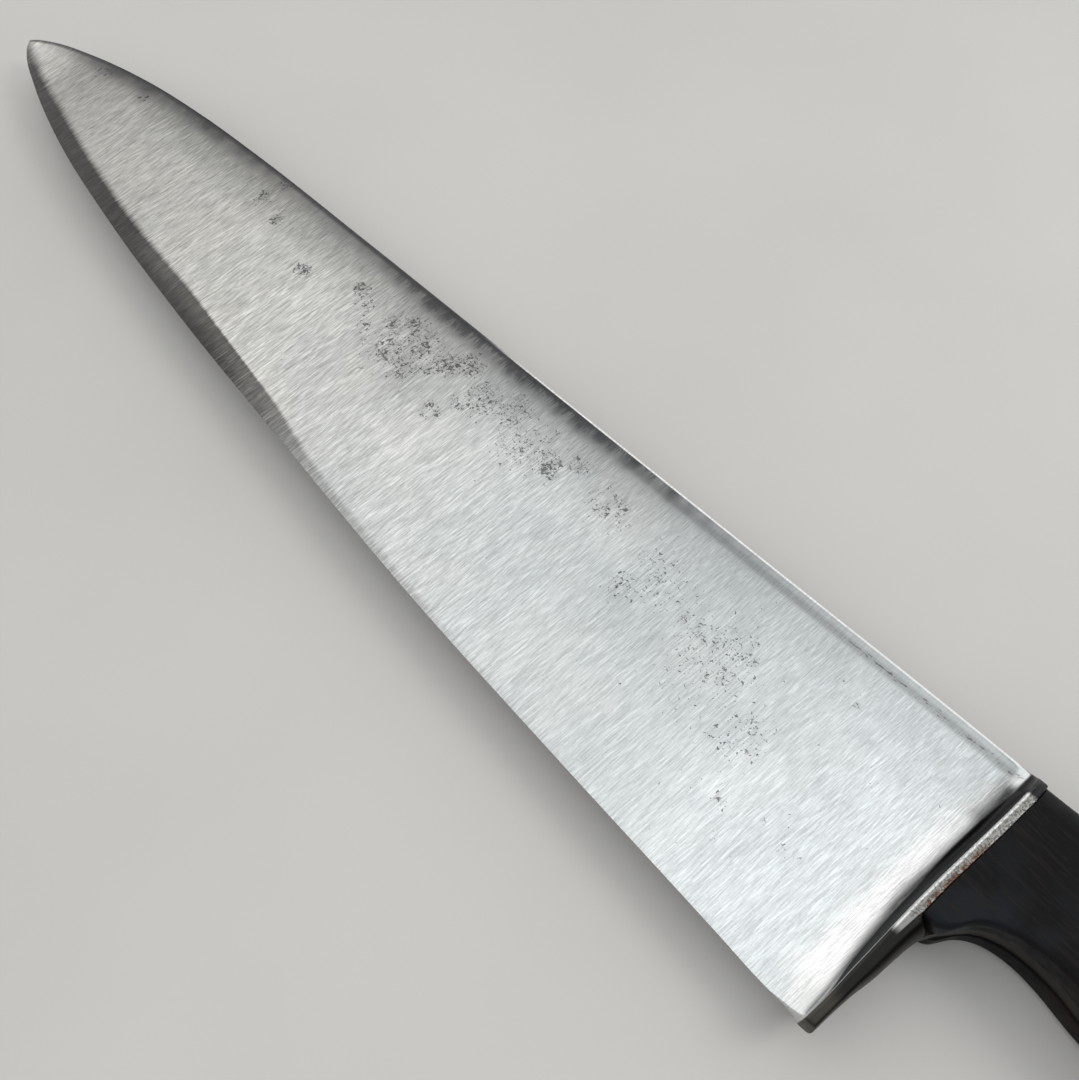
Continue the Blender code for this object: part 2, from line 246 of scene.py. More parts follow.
# The width of the tarnish and painted dark reflection in front of the ridge, by the distance down from the
# spine
TARNISH_AND_SHADE_WIDTH = smooth((0, 1.2), (8, 1.6), (15, 2), (22, 2), (30, 1.6), (40, 1.35), (47, 1), (54, 0.25),
                       (HEEL_DEPTH, 0))

# Darker patches of the face, as (u, v, half length, half height, loss)
DARKER_PATCHES = ((-141, 20, 17, 6, 0.2), (-65, 27, 36, 9, 0.11), (-32, 21, 10, 12, 0.12))

# Clusters of corrosion pits, as (u, v, radius, strength)
PIT_CLUSTERS = (
    (-276, 8.5, 4, 0.8), (-260, 7.7, 2.6, 0.8), (-207, 2.3, 2.3, 1), (-207.5, 7.9, 2.6, 1.1),
    (-199, 10.5, 2.1, 1.2), (-181.5, 16.3, 2.3, 1.4), (-167.5, 10.5, 2.5, 1.3), (-155, 12, 2.2, 1.3),
    (-150.5, 9, 2.6, 1.2), (-149.5, 18.5, 2.6, 1.1), (-144.5, 12.3, 2.9, 1.3), (-143, 20, 2.3, 1),
    (-137.5, 11.5, 3.6, 1.2), (-133.6, 8, 4, 1), (-131, 22, 3, 0.9), (-148, 14, 11, 0.68),
    (-163, 13, 3, 0.8), (-158, 17, 2, 0.85), (-140, 16, 2.4, 0.95), (-128, 17, 2.2, 0.95),
    (-125, 12.5, 5, 0.9), (-118, 10, 5, 0.8), (-103, 14.2, 3.5, 1.1), (-98.8, 9.8, 3, 0.9),
    (-110, 15, 9, 0.6), (-87.6, 13, 6, 0.65), (-74, 24, 4, 0.7), (-70, 18, 9, 0.55),
    (-61.5, 20, 2, 0.75), (-57.5, 21, 1.1, 0.9), (-53.3, 25.2, 1.2, 0.9), (-46.5, 18.3, 1.5, 0.9),
    (-52, 22, 12, 0.55), (-38, 27.8, 3, 0.7), (-40, 31, 8, 0.5), (-28.3, 12, 1, 0.9),
    (-17.8, 21, 0.9, 0.8), (-22, 40.5, 0.9, 0.85), (-19.2, 39.8, 1, 0.9), (-27, 38.8, 0.9, 0.8),
    (-34, 42, 2.2, 0.65), (-55, 33, 1.4, 0.6), (-31, 47, 1.2, 0.7),
)
PIT_FALLOFF = 1.4


# ---------------------------------------------------------------- outlines and thicknesses

def world(points):
    """Millimetres on the knife's axes to metres in the row's frame."""
    u, v, z = np.asarray(points, float).T
    return np.column_stack([u - MIDDLE_U, MIDDLE_V - v, HANDLE_HALF + z]) / 1000


def between(top, bottom, share):
    """The two sides of an outline, pulled in towards the middle at a rounded end."""
    middle = (top + bottom) / 2
    half = (bottom - top) / 2 * share
    return middle - half, middle + half


def blade_outline(s):
    """The spine's and the edge's v at the distance s ahead of the bolster."""
    return between(SPINE(s), EDGE(s), round_end(s, BLADE_LENGTH - TIP_ROUNDING, BLADE_LENGTH))


def handle_outline(u):
    """The handle's top and belly."""
    share = round_end(u, BUTT_START, HANDLE_LENGTH, BUTT_POWER)
    return between(HANDLE_TOP(u), BELLY(u), share)


def handle_half(u):
    """Half the handle's thickness: it swells behind the bolster to its flat sides."""
    swell = (HANDLE_HALF - BOLSTER_HALF) * step(u, SWELL_START, FLAT_START)
    butt = BUTT_ROUNDING * (1 - round_end(u, HANDLE_LENGTH - BUTT_ROUNDED_LENGTH, HANDLE_LENGTH))
    return BOLSTER_HALF + swell - butt


def blade_half(s, share):
    """Half the blade's thickness, at a share of the way from the spine to the edge."""
    kept = TIP_KEEPS + (1 - TIP_KEEPS) * round_end(s, BLADE_LENGTH - TIP_ROUNDING, BLADE_LENGTH)
    return EDGE_HALF + (SPINE_TAPER(s) * kept - EDGE_HALF) * (1 - share**FACE_BULGE)


def bolster_half(v):
    """Half the bolster's thickness: round at the spine, full over the handle, thinner at the heel."""
    left = 1 - np.clip((v - SPINE(0)) / BOLSTER_CORNER, 0, 1)
    corner = (1 - left**BOLSTER_CORNER_POWER) ** (1 / BOLSTER_CORNER_POWER)
    heel = np.clip((v - HEEL_START) / (HEEL_DEPTH - HEEL_START), 0, 1) ** HEEL_THINNING_POWER
    return SPINE_HALF + (BOLSTER_HALF - SPINE_HALF) * corner - HEEL_THINNING * heel


def fillet(ahead, v):
    """The hollow rise from the blade's face to the ridge, which is slightly worn: 1 behind it, 0 ahead."""
    run = np.interp(v, (0, FILLET_WIDENS), FILLET_RUN)
    reach = FILLET_REACH * np.clip(1 - ahead / run, 0, FILLET_PAST_RIDGE)
    rise = (1 - np.sqrt(1 - reach**2)) / (1 - math.sqrt(1 - FILLET_REACH**2))
    return -RIDGE_SOFTNESS * np.logaddexp(-rise / RIDGE_SOFTNESS, -1 / RIDGE_SOFTNESS)


# ---------------------------------------------------------------- the forging's lines of points

def row_depths(height, keen):
    """How far each row of the mesh lies below the spine. The rows are close at the spine's corner, and
    on both sides of the sharpened band's border, which lies keen above the edge."""
    near_spine = SPINE_ROWS * min(1, height / FULL_ROWS_HEIGHT)
    near_edge = EDGE_ROWS * min(keen, height / 4)
    middle = np.linspace(near_spine[-1], height - near_edge[0], MIDDLE_STEPS + 1)[1:-1]
    return np.concatenate([near_spine, middle, height - near_edge])


def blade_stations():
    """Distances ahead of the ridge, from the tip back: close over the tip, the fillet and the ridge."""
    ridge_end, fillet_end, tip_start, tip_end = 0.6, 20, 292, BLADE_LENGTH - TIP_LEFT_OPEN
    over_ridge = np.arange(-0.5, ridge_end, 0.1)
    over_fillet = ridge_end + (fillet_end - ridge_end) * (np.arange(26) / 26) ** 1.5
    along = np.arange(fillet_end, tip_start, COLUMN_STEP)
    tip = tip_start + (tip_end - tip_start) * np.sin(np.radians(np.arange(0, 91, 6)))
    return np.concatenate([over_ridge, over_fillet, along, tip])[::-1]


def blade_column(ahead):
    """One line of points from the spine to the edge, on the blade's upper side."""
    lean = 1 - step(ahead, *RIDGE_LEAN_FADE)
    top = blade_outline(ahead - lean * RIDGE(0))[0]
    bottom = blade_outline(ahead - lean * RIDGE(HEEL_DEPTH))[1]
    height = bottom - top
    width = min(float(KEEN_WIDTH(ahead)), KEEN_WIDEST * height)
    depth = row_depths(height, width)
    v = top + depth
    u = lean * RIDGE(v) - ahead
    rise = fillet(ahead, v)
    plain = blade_half(-u, depth / height)
    half = plain + (bolster_half(v) - blade_half(-RIDGE(v), depth / height)) * rise
    from_edge = height - depth
    keen = KEEN_HALF + from_edge / width * (blade_half(-u, 1 - width / height) - KEEN_HALF)
    half = half - np.maximum(plain - keen, 0) * (from_edge < width) * step(ahead, *KEEN_FADE)
    radius = min(SPINE_RADIUS, 2 * half[0])
    half = half - quarter(depth + (1 - SPINE_ROUNDED) * radius, radius) * (1 - rise)
    half = half - quarter(from_edge, HEEL_RADIUS) * step(rise, 0, 0.3) * HEEL_ROUNDED
    return column(u, v, half, ahead, depth, from_edge - width)


def bolster_columns():
    """The back of the bolster, from its rounded edge down to the mid-plane."""
    height = HEEL_DEPTH - SPINE(0)
    depth = row_depths(height, float(KEEN_WIDTH(0)))
    v = SPINE(0) + depth
    half = bolster_half(v) - quarter(height - depth, HEEL_RADIUS) * HEEL_ROUNDED
    rear = REAR(v)
    guard = step(v, GUARD_TOP, GUARD_TOP + GUARD_SHOULDER) * (GUARD_BACK(v) - rear)
    swell = np.maximum(guard, REAR_CROWN)
    radius = np.minimum(REAR_RADIUS, half * 0.3)
    turns = np.radians([0, 22, 45, 67, 90])
    rounded = [(half - radius * (1 - math.cos(a)), radius * (1 - math.sin(a)), 0) for a in turns]
    flat = [((half - radius) * share, 0, BACK_OFFSET) for share in np.linspace(1, 0, BACK_STEPS + 1)[1:]]
    for z, inset, offset in rounded + flat:
        u = rear - inset + swell * np.sqrt(np.clip(1 - (z / half) ** 2, 0, 1))
        behind = u - RIDGE(v) + offset
        yield column(u, v, z, -behind, depth, np.full(len(v), NO_FACET))


def tone_at(u, v, depth):
    """The steel's brightness, a painted reflection brightest at the heel: less towards the spine, as painted
    shade, and in the darker patches.
    """
    s = -u
    top, bottom = blade_outline(np.clip(s, 0, BLADE_LENGTH - 1))
    tone = TONE(s) * (1 - SPINE_LOSS(s) * (1 - step(depth / (bottom - top), 0, SPINE_LOSS_REACH)))
    for patch_u, patch_v, length, height, loss in DARKER_PATCHES:
        tone = tone * (1 - loss * np.exp(-((u - patch_u) / length) ** 2 - ((v - patch_v) / height) ** 2))
    return tone


def pitting_at(u, v):
    """How thick the corrosion pits stand."""
    pits = np.zeros(len(v))
    for pit_u, pit_v, radius, strength in PIT_CLUSTERS:
        away = ((u - pit_u) ** 2 + (v - pit_v) ** 2) / radius**2
        pits = np.maximum(pits, strength * np.exp(-(away**PIT_FALLOFF)))
    return pits


# The UV layers that carry the forging's wear and painted light to its material, two values in each
VALUE_LAYERS = ("brush", "wear", "zone", "shade", "bolster")


def column(u, v, half, ahead, depth, from_facet):
    """Points, and beside them the values for VALUE_LAYERS: the distance across the strokes and below the
    spine, the stain with its painted shade and the pitting, the distance ahead of the ridge and above the
    sharpened band, the tone with its painted reflection and shade and the band's darkness, partly painted
    shade, and the reach of the tarnish and painted dark reflection and 1 for what is forged. The tang has 0."""
    s = -u
    across = u - (v - MIDDLE_V) * STROKE_LEAN(s)
    stain = STAIN_AND_SHADE(s) * (1 - step(depth, *STAIN_AND_SHADE_FADE))
    values = (across, depth, stain, pitting_at(u, v), np.broadcast_to(ahead, v.shape), from_facet,
              tone_at(u, v, depth), KEEN_DARKNESS(s), TARNISH_AND_SHADE_WIDTH(v) - ahead, np.ones(len(v)))
    return np.column_stack([u, v, half, *values])


def on_mid_plane(points):
    flat = points.copy()
    flat[:, 2] = 0
    return flat


# ---------------------------------------------------------------- meshes and objects

def mesh_from(form, name):
    mesh = bpy.data.meshes.new(name)
    form.to_mesh(mesh)
    form.free()
    return mesh


def new_object(name, data):
    obj = bpy.data.objects.new(name, data)
    bpy.context.scene.collection.objects.link(obj)
    return obj


def surface(name, columns, rings=False):
    """An object of quads between neighbouring lines of points, or between closed rings with a cap at each
    end. Numbers after the first three of a point go to VALUE_LAYERS, two to each."""
    form = bmesh.new()
    lines = [[form.verts.new(point) for point in world(c[:, :3])] for c in columns]
    rows = len(lines[0])
    extra = {vert: c[i, 3:] for line, c in zip(lines, columns) for i, vert in enumerate(line)}
    for here, there in zip(lines, lines[1:]):
        for i in range(rows if rings else rows - 1):
            j = (i + 1) % rows
            form.faces.new((here[i], here[j], there[j], there[i]))
    if rings:
        form.faces.new(lines[0][::-1])
        form.faces.new(lines[-1])
    for layer, first in zip(VALUE_LAYERS, range(0, columns[0].shape[1] - 3, 2)):
        uv = form.loops.layers.uv.new(layer)
        for face in form.faces:
            for loop in face.loops:
                loop[uv].uv = extra[loop.vert][first:first + 2]
    bmesh.ops.remove_doubles(form, verts=form.verts, dist=MERGE_DISTANCE)
    bmesh.ops.dissolve_degenerate(form, edges=form.edges, dist=MERGE_DISTANCE)
    bmesh.ops.recalc_face_normals(form, faces=form.faces)
    if form.calc_volume(signed=True) < 0:
        bmesh.ops.reverse_faces(form, faces=form.faces)
    return new_object(name, mesh_from(form, name))


def bar(name, outline, half):
    """A flat bar with this outline, to add or cut away with a Boolean."""
    form = bmesh.new()
    lower = world(np.column_stack([outline, np.full(len(outline), -half)]))
    face = form.faces.new([form.verts.new(point) for point in lower])
    raised = bmesh.ops.extrude_face_region(form, geom=[face])["geom"]
    verts = [item for item in raised if isinstance(item, bmesh.types.BMVert)]
    bmesh.ops.translate(form, verts=verts, vec=(0, 0, 2 * half / 1000))
    bmesh.ops.recalc_face_normals(form, faces=form.faces)
    return new_object(name, mesh_from(form, name))


def turned(name, profile, at):
    """A profile of (radius, height) pairs, in millimetres, turned about Z at (u, v)."""
    form = bmesh.new()
    angles = np.arange(TURN_STEPS) * 2 * math.pi / TURN_STEPS
    rings = []
    for radius, height in profile:
        around = angles if radius else angles[:1]
        places = [(radius * math.cos(a) / 1000, radius * math.sin(a) / 1000, height / 1000) for a in around]
        rings.append([form.verts.new(place) for place in places])
    for here, there in zip(rings, rings[1:]):
        for i in range(TURN_STEPS):
            j = (i + 1) % TURN_STEPS
            corners = (here[i % len(here)], here[j % len(here)], there[j % len(there)], there[i % len(there)])
            form.faces.new(list(dict.fromkeys(corners)))
    bmesh.ops.recalc_face_normals(form, faces=form.faces)
    obj = new_object(name, mesh_from(form, name))
    obj.location = world([(*at, 0)])[0]
    return obj


def applied(obj):
    """Turns the result of the object's modifiers into its mesh."""
    graph = bpy.context.evaluated_depsgraph_get()
    mesh = bpy.data.meshes.new_from_object(obj.evaluated_get(graph))
    obj.modifiers.clear()
    obj.data = mesh


def combined(obj, others, operation):
    """Applies a Boolean with each of the others."""
    for other in others:
        boolean = obj.modifiers.new(other.name, "BOOLEAN")
        boolean.operation = operation
        boolean.object = other
    applied(obj)


def finished(obj):
    """Smooth, with its real corners kept sharp."""
    obj.data.shade_smooth()
    obj.data.set_sharp_from_angle(angle=math.radians(SHARP_ANGLE))
    return obj


# ---------------------------------------------------------------- the handle's shapes

def tang_outline():
    """From inside the bolster along the top, round the butt, and back along the belly."""
    along = np.concatenate([np.arange(3, 115, 1.5), np.linspace(BUTT_START, HANDLE_LENGTH - 0.4, 30)])
    top, bottom = handle_outline(along)
    upper = np.column_stack([along, top + TANG_INSET_TOP])
    lower = np.column_stack([along, bottom - TANG_INSET_BELLY])[along > 5][::-1]
    inside_bolster = [(3.4, 34), (2.5, 35.5), (-1, 35.5), (0.5, upper[0, 1])]
    return np.vstack([upper, lower, inside_bolster])


def bolster_side():
    """Round everything ahead of the line that the scales' front ends are sawn to."""
    above, below = -3, 37
    down = np.linspace(above, below, 41)
    sawn = np.column_stack([REAR(down) + SCALE_FRONT_GAP, down])
    return np.vstack([(SCALE_START - 1, above), sawn, (SCALE_START - 1, below)])


def scale_section(station):
    """One ring round a scale."""
    top, bottom = handle_outline(station)
    half = handle_half(station)
    belly_radius = SCALE_BELLY_RADIUS + (SCALE_GRIP_RADIUS - SCALE_BELLY_RADIUS) * step(station, *GRIP_FADE)
    fit = min(1, 0.98 * (bottom - top) / (SCALE_TOP_RADIUS + belly_radius))
    fall = min(SCALE_TOP_RADIUS, half - SCALE_INNER - SCALE_RIM)
    turn = np.radians(np.linspace(0, 90, 13))
    upper = np.column_stack([top + fit * SCALE_TOP_RADIUS * (1 - np.cos(turn)),
                             half - fall * (1 - np.sin(turn))])
    lower = np.column_stack([bottom - fit * belly_radius * (1 - np.sin(turn)),
                             half - belly_radius * (1 - np.cos(turn))])
    seam = SCALE_SEAM_RADIUS * fit
    corner = np.radians(np.linspace(0, 90, 4))
    inset, lift = seam * (1 - np.sin(corner)), SCALE_INNER + seam * (1 - np.cos(corner))
    inner_top, inner_bottom = np.column_stack([top + inset, lift]), np.column_stack([bottom - inset, lift])
    middle = np.linspace(upper[-1], lower[0], 16)[1:-1]
    ring = np.vstack([inner_top, upper, middle, lower, inner_bottom[::-1]])
    return np.column_stack([np.full(len(ring), station), ring])


def scale_stations():
    """Places along the handle: close behind the bolster and round the butt."""
    front_end = 30
    front = SCALE_START + (front_end - SCALE_START) * (np.arange(56) / 56) ** 1.1
    along = np.arange(front_end, BUTT_START - 1, 2)
    butt = BUTT_START + (HANDLE_LENGTH - 0.1 - BUTT_START) * np.sin(np.radians(np.arange(0, 91, 4)))
    return np.concatenate([front, along, butt])


def head_profile():
    """A rivet's head, nearly flat, with a worn rim."""
    top = HANDLE_HALF - HEAD_RECESS
    dome = [(radius, top - HEAD_CROWN * (radius / HEAD_RADIUS) ** 2) for radius in (0, 1, 2, 3, 3.7)]
    rim = [(HEAD_RADIUS - HEAD_CHAMFER * (1 - math.sin(a)),
            top - HEAD_CROWN - HEAD_CHAMFER * (1 - math.cos(a))) for a in np.radians(np.linspace(0, 90, 5))]
    return dome + rim + [(HEAD_RADIUS, top - HEAD_THICKNESS)]


def rivet_profile(half):
    """A head with a shank, or with the tube that the shank goes into."""
    under = HANDLE_HALF - HEAD_RECESS - HEAD_THICKNESS
    end = SHANK_END_GAP - under
    if half == "male":
        return head_profile() + [(SHANK_RADIUS, under), (SHANK_RADIUS, end), (0, end)]
    return head_profile() + [(TUBE_RADIUS, under), (TUBE_RADIUS, end), (BORE_RADIUS, end),
                             (BORE_RADIUS, under), (0, under)]


def bore(at):
    """The stepped hole for one rivet, through both scales and the tang."""
    seat = HANDLE_HALF - HEAD_RECESS - HEAD_THICKNESS - FIT
    outside = HANDLE_HALF + PAST_HANDLE
    wide, narrow = HEAD_RADIUS + FIT, TUBE_RADIUS + FIT
    upper = [(0, outside), (wide, outside), (wide, seat), (narrow, seat)]
    return turned("bore", upper + [(radius, -height) for radius, height in upper[::-1]], at)


# ---------------------------------------------------------------- materials

class Nodes:
    """Short ways to add nodes to a material or a world. A value is a number, a colour or a node's output."""

    def __init__(self, owner):
        owner.use_nodes = True
        self.owner = owner
        self.tree = owner.node_tree

    def put(self, socket, value):
        if isinstance(value, bpy.types.NodeSocket):
            self.tree.links.new(value, socket)
        elif socket.type == "RGBA" and len(value) == 3:
            socket.default_value = (*value, 1)
        else:
            socket.default_value = value

    def add(self, kind, values=(), **settings):
        node = self.tree.nodes.new("ShaderNode" + kind)
        for name, value in settings.items():
            setattr(node, name, value)
        for key, value in dict(values).items():
            self.put(node.inputs[key], value)
        return node

    def math(self, operation, *values):
        return self.add("Math", enumerate(values), operation=operation).outputs[0]

    def times(self, *values):
        return reduce(lambda a, b: self.math("MULTIPLY", a, b), values)

    def plus(self, *values):
        return reduce(lambda a, b: self.math("ADD", a, b), values)

    def minus(self, a, b):
        return self.math("SUBTRACT", a, b)

    def largest(self, *values):
        return reduce(lambda a, b: self.math("MAXIMUM", a, b), values)

    def distance(self, a, b):
        return self.math("ABSOLUTE", self.plus(a, -b))

    def line(self, value, low, high, start=0.0, end=1.0, kind="LINEAR"):
        """A straight rise from start at low to end at high, level outside them."""
        values = {"Value": value, "From Min": low, "From Max": high, "To Min": start, "To Max": end}
        return self.add("MapRange", values, interpolation_type=kind).outputs[0]

    def fade(self, value, low, high, start=0.0, end=1.0):
        """An S-curve from start at low to end at high."""
        return self.line(value, low, high, start, end, "SMOOTHSTEP")

    def vary(self, noise, amount, low=0.3, high=0.7):
        """A noise, spread evenly from -amount to amount."""
        return self.line(noise, low, high, -amount, amount)

    def mix(self, share, a, b, blend="MIX"):
        return self.add("Mix", {0: share, 6: a, 7: b}, data_type="RGBA", blend_type=blend).outputs[2]

    def brightened(self, colour, value):
        return self.add("HueSaturation", {"Value": value, "Color": colour}).outputs[0]

    def vector(self, x, y, z=0.0):
        return self.add("CombineXYZ", {0: x, 1: y, 2: z}).outputs[0]

    def noise(self, vector, scale=1.0, detail=2.0, roughness=0.5, distortion=0.0):
        values = {"Vector": vector, "Scale": scale, "Detail": detail, "Roughness": roughness,
                  "Distortion": distortion}
        return self.add("TexNoise", values).outputs[0]

    def stretched(self, x, y, z, scale_x, scale_y, detail=2.0, roughness=0.5):
        """A noise with its own scale along x and y."""
        at = self.vector(self.times(x, scale_x), self.times(y, scale_y), z)
        return self.noise(at, 1, detail, roughness)

    def layer(self, name):
        """The two values that a UV layer holds."""
        node = self.add("SeparateXYZ", {0: self.add("UVMap", uv_map=name).outputs[0]})
        return node.outputs[0], node.outputs[1]

    def object_mm(self):
        """The object's own coordinates in millimetres, as a vector and as three numbers."""
        place = self.add("TexCoord").outputs["Object"]
        scaled = self.add("VectorMath", {0: place, "Scale": 1000.0}, operation="SCALE").outputs[0]
        return scaled, *self.add("SeparateXYZ", {0: scaled}).outputs

    def bump(self, height, distance):
        return self.add("Bump", {"Height": height, "Distance": distance, "Strength": 1.0}).outputs[0]

    def finish(self, shader="Principled BSDF", **values):
        for name, value in values.items():
            self.put(self.tree.nodes[shader].inputs[name.replace("_", " ")], value)
        return self.owner


def steel_point(n):
    """What the steel's material knows of a point: its place, and the values from VALUE_LAYERS."""
    p = SimpleNamespace()
    p.across, p.depth = n.layer("brush")
    p.stain, p.pitting = n.layer("wear")
    p.ahead, p.from_facet = n.layer("zone")
    p.tone, p.dullness = n.layer("shade")
    p.tarnish, p.forged = n.layer("bolster")
    p.place, x, y, z = n.object_mm()
    p.u = n.plus(x, MIDDLE_U)
    p.v = n.minus(MIDDLE_V, y)
    p.side = n.times(z, 0.3)
    return p


def add_strokes(n, p):
    """The polishing strokes, which cross the blade, and the finer and broader unevenness."""
    wobble = n.stretched(p.across, p.v, p.side, 0.15, 0.08)
    stroke = n.plus(p.across, n.times(wobble, 0.5))
    slanted = n.plus(stroke, n.times(p.v, 0.06))
    p.fine = n.stretched(stroke, p.v, p.side, 4.4, 0.27, 2.5, 0.6)
    p.middle = n.stretched(slanted, p.v, p.side, 2.2, 0.24, 2, 0.6)
    lines = n.stretched(slanted, p.v, n.plus(p.side, 7.0), 4.2, 0.26, 1)
    p.streaks = n.plus(n.vary(p.fine, 0.6, 0.34, 0.66), n.vary(p.middle, 0.06),
                       n.fade(lines, 0.56, 0.62, -0.08, 0.55))
    p.broad = n.stretched(stroke, p.v, p.side, 0.3, 0.1)
    p.cloud = n.noise(p.place, 0.06)
    p.grit = n.noise(p.place, 1.0, 3, 0.7)
    p.specks = n.noise(p.place, 2.4, 2, 0.6)


def add_bolster_zones(n, p):
    """Where the parts of the bolster lie: the blade's face ahead of it, the polished fillet with its painted
    highlight and, in its hollow, the tarnish and painted dark reflection, the scraped strip behind the ridge
    with a painted highlight along its front and its rust, the corner at the spine painted dark as shade, the
    finger guard, the back, and the tang."""
    p.face = n.fade(p.ahead, 1.5, 3.5)
    # the hollow's tarnish, with painted dark reflection
    p.hollow = n.times(n.fade(p.tarnish, -0.25, 0.2), n.fade(p.ahead, 0.12, 0.25))
    p.polished = n.times(n.fade(p.ahead, 8, 4), n.fade(p.ahead, 0.12, 0.3))
    # painted highlight on the fillet
    p.burnished = n.times(n.fade(p.ahead, 8, 4.5), n.fade(p.v, 12, 27), n.fade(p.v, 56, 50))
    p.strip = n.times(n.fade(p.ahead, 0.2, 0.05), p.forged)
    # painted highlight along the strip's front at the ridge
    p.strip_front = n.times(p.strip, n.fade(p.ahead, -0.45, -0.15))
    on_strip = n.times(n.fade(p.v, 37, 35.5), n.fade(p.ahead, -5, -3))
    p.strip_pits = n.times(n.times(n.fade(p.specks, 0.5, 0.66), p.strip), on_strip)
    rusty = n.times(n.fade(p.v, 15, 22), n.fade(p.v, 36, 33), n.fade(p.ahead, -0.6, -1.1))
    p.rust = n.times(rusty, p.strip, n.fade(p.grit, 0.4, 0.54))
    # painted shade: the corner at the spine is painted near-black
    p.corner = n.times(n.fade(p.v, 6.8, 5.8), n.fade(p.ahead, 1.7, 0.9))
    p.guard = n.times(p.strip, n.fade(n.plus(p.v, n.fade(p.ahead, -1.0, -1.6, 0, 5.5)), 38.4, 40.2))
    p.back = n.fade(p.ahead, -5, -6)
    p.tang = n.minus(1.0, n.fade(p.forged, 0.3, 0.7))


def add_spine_wear_and_shade(n, p):
    """Beside the spine: the dark stain, partly painted shade, the line on its outermost edge near the
    bolster, kept clear of the stain and lightened as a painted highlight, the dark line ahead of that,
    painted shade, a faint dark line, painted shade on the shoulder near the bolster, and the rough border
    that the grinding left by the bolster."""
    # painted highlight along the spine's outermost edge near the bolster
    p.outermost = n.times(n.fade(p.depth, 0.6, 0.35), n.fade(p.ahead, 140, 118))
    blotch = n.plus(n.times(p.streaks, n.line(p.ahead, 100, 140, 0.4, 0.8)), n.vary(p.broad, 0.35))
    # stain beside the spine, with painted shade
    stained = n.fade(n.times(p.stain, n.plus(1.0, blotch)), 0.0, 1.0)
    p.stained = n.times(stained, n.minus(1.0, p.outermost))
    begins = n.times(n.fade(p.ahead, 92, 112), n.fade(p.depth, 0.3, 0.6))
    begins = n.largest(begins, n.fade(p.ahead, 118, 140))
    # painted shade: a dark line on the spine's edge beyond the highlight
    p.spine_line = n.times(n.fade(p.depth, 1.9, 0.8), begins, 0.8)
    # a faint dark line about 2.5 mm below the spine
    along_groove = n.times(n.fade(p.ahead, 1, 4), n.fade(p.ahead, 105, 85))
    p.groove = n.times(n.fade(n.distance(p.depth, 2.5), 1.4, 0.3), along_groove)
    near_bolster = n.times(n.fade(p.ahead, 1, 3), n.fade(p.ahead, 46, 30))
    # painted shade on the spine's shoulder near the bolster
    p.shoulder = n.times(n.fade(p.depth, 3.2, 1.9), near_bolster)
    flaws = n.stretched(p.u, p.v, p.side, 0.55, 1.6, 3, 0.65)
    off_border = n.distance(p.depth, 2.35)
    border = n.fade(n.plus(flaws, n.times(off_border, -0.22)), 0.48, 0.56)
    p.border = n.times(border, near_bolster, n.fade(off_border, 0.8, 0.5))


def add_facet(n, p):
    """The sharpened band along the edge, darker than the face: its own finish and painted shade. Its border
    is softer towards the tip.
    """
    softness = n.plus(n.fade(p.ahead, 170, 235, 0.3, 1.8), n.fade(p.ahead, 165, 140, 0, 0.5))
    above = n.plus(p.from_facet, n.times(p.streaks, 0.12))
    facet = n.times(n.fade(n.math("DIVIDE", above, softness), 1, -1), p.dullness, n.fade(p.ahead, 2, 12))
    p.facet = n.times(facet, n.line(p.streaks, -1, 1, 1.0, 0.86))
    lighter = n.times(n.fade(p.from_facet, -5, -1), n.fade(p.ahead, 225, 205))
    # the band's dark colours: its sharpened finish and painted shade
    p.facet_colour = n.mix(lighter, (0.056, 0.054, 0.052), (0.1, 0.097, 0.093))


def add_pits(n, p):
    """Ragged corrosion pits with small dots between them, in a faint haze."""
    ragged = n.noise(p.place, 0.55, 2, 0.6)
    pitting = n.times(p.pitting, n.line(ragged, 0.3, 0.65, 0.45, 1.15))
    marks = n.noise(p.place, 1.3, 1.5, 0.5, 0.6)
    pits = n.times(n.fade(n.minus(marks, n.line(pitting, 0, 1, 0.76, 0.5)), 0, 0.07), p.face)
    dots = n.times(n.fade(n.minus(p.specks, n.line(pitting, 0, 0.6, 0.78, 0.585)), 0, 0.06), p.face)
    p.pits = n.largest(pits, n.times(dots, 0.8))
    p.haze = n.times(n.fade(pitting, 0.25, 1.1), n.fade(p.grit, 0.35, 0.6), p.face)


